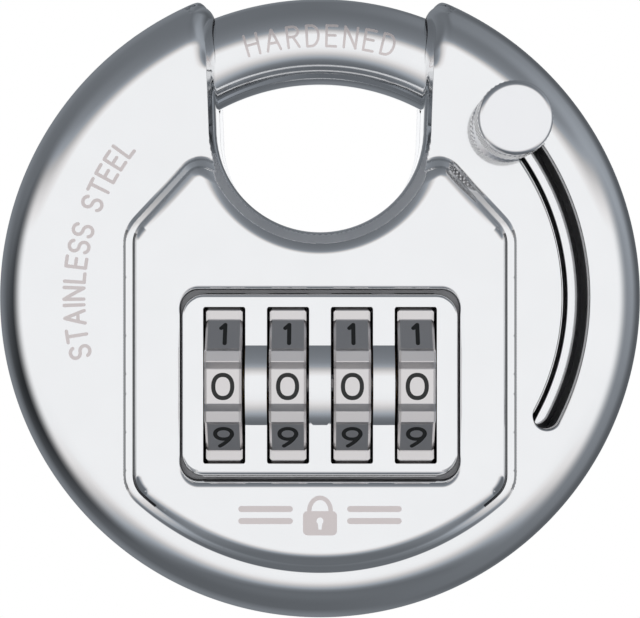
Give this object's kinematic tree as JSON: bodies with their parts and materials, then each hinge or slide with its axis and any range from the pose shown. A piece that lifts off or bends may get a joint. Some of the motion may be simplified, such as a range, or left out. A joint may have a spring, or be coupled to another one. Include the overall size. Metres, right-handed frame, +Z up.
{
  "type": "disc padlock",
  "caption": "Round steel combination padlock whose number dial frees a curved shackle; a thumb knob slides the shackle aside to open the hasp notch.",
  "frame": {"origin": "centre of the flat rear face, on the disc's axis", "axes": "+X to the right seen from the front, +Z up towards the shackle, +Y out of the rear face, so the number dial faces -Y"},
  "size_m": [0.0694, 0.0266, 0.0672],
  "materials": {
    "polished_stainless": "bright polished stainless steel",
    "hardened_shackle": "bright plated hardened steel",
    "knob_chrome": "polished cap, knurled side",
    "wheel_nickel": "satin nickel with black numbers",
    "cast_zinc": "as cast",
    "brass": "machined",
    "spring_steel": "plain",
    "zinc_screw": "zinc plated",
    "nylon_liner": "moulded"
  },
  "bodies": {
    "housing": {"front_shell": "polished_stainless", "rear_shell": "polished_stainless", "core_body": "cast_zinc", "dial_plate": "polished_stainless", "dial_frame": "cast_zinc", "dial_spacer_1": "brass", "dial_spacer_2": "brass", "dial_spacer_3": "brass", "click_spring_1": "spring_steel", "click_spring_2": "spring_steel", "click_spring_3": "spring_steel", "click_spring_4": "spring_steel", "latch_spring": "spring_steel", "plate_screw_1": "zinc_screw", "plate_screw_2": "zinc_screw", "plate_screw_3": "zinc_screw", "plate_screw_4": "zinc_screw", "guide_liner_left": "nylon_liner", "guide_liner_right": "nylon_liner"},
    "shackle_ring": {"shackle": "hardened_shackle", "knob": "knob_chrome", "knob_stud": "spring_steel", "knob_carrier": "polished_stainless"},
    "dial_1": {"dial_wheel_1": "wheel_nickel", "code_sleeve_1": "brass"},
    "dial_2": {"dial_wheel_2": "wheel_nickel", "code_sleeve_2": "brass"},
    "dial_3": {"dial_wheel_3": "wheel_nickel", "code_sleeve_3": "brass"},
    "dial_4": {"dial_wheel_4": "wheel_nickel", "code_sleeve_4": "brass"},
    "latch": {"latch_spindle": "spring_steel"}
  },
  "joints": [
    {"name": "shackle_turn", "type": "hinge", "parent": "housing", "child": "shackle_ring", "pos_m": [0, -0.0107, 0], "axis": [0, 1, 0], "range_deg": [0, 70]},
    {"name": "dial_1_turn", "type": "hinge", "parent": "housing", "child": "dial_1", "pos_m": [0, -0.015, -0.0091], "axis": [1, 0, 0], "continuous": true, "deforming": ["click_spring_1"]},
    {"name": "dial_2_turn", "type": "hinge", "parent": "housing", "child": "dial_2", "pos_m": [0, -0.015, -0.0091], "axis": [1, 0, 0], "continuous": true, "deforming": ["click_spring_2"]},
    {"name": "dial_3_turn", "type": "hinge", "parent": "housing", "child": "dial_3", "pos_m": [0, -0.015, -0.0091], "axis": [1, 0, 0], "continuous": true, "deforming": ["click_spring_3"]},
    {"name": "dial_4_turn", "type": "hinge", "parent": "housing", "child": "dial_4", "pos_m": [0, -0.015, -0.0091], "axis": [1, 0, 0], "continuous": true, "deforming": ["click_spring_4"]},
    {"name": "latch_slide", "type": "slide", "parent": "housing", "child": "latch", "axis": [1, 0, 0], "range_m": [-0.0021, 0], "deforming": ["latch_spring"]}
  ],
  "couplings": [
    {"joint": "latch_slide", "follows": "shackle_turn", "m_per_rad": -0.001637}
  ]
}
